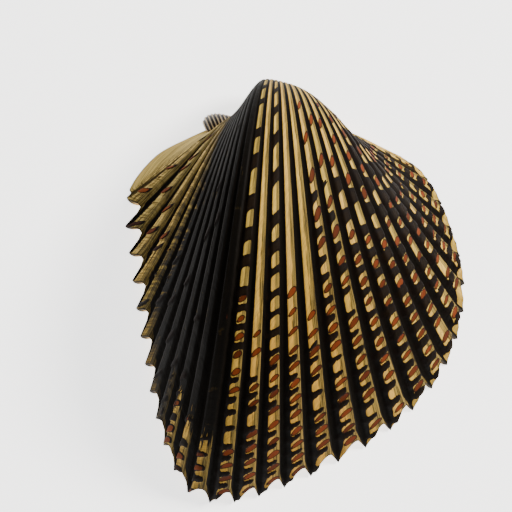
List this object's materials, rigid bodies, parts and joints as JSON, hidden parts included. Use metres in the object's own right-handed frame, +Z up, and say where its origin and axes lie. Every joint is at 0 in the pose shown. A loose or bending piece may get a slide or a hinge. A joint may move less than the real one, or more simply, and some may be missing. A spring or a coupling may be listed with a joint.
{
  "type": "cockle shell",
  "caption": "Single ribbed cockle valve with a toothed margin, spotted ribs and its dark ligament, lying mouth down.",
  "frame": {"origin": "centre of the shell's outline, on the surface that its margin rests on", "axes": "+Z up through the outside of the valve, +Y along the height from the margin to the umbo, +X towards the front end, so the ligament is on the -X side of the umbo"},
  "size_m": [0.0524, 0.0644, 0.0216],
  "materials": {
    "shell": "satin, ribbed, tan with black grooves, rust-brown and black spots and a dark hind flank",
    "ligament": "horny, semi-gloss, finely ridged"
  },
  "bodies": {
    "root": {"valve": "shell", "ligament": "ligament"}
  },
  "joints": []
}
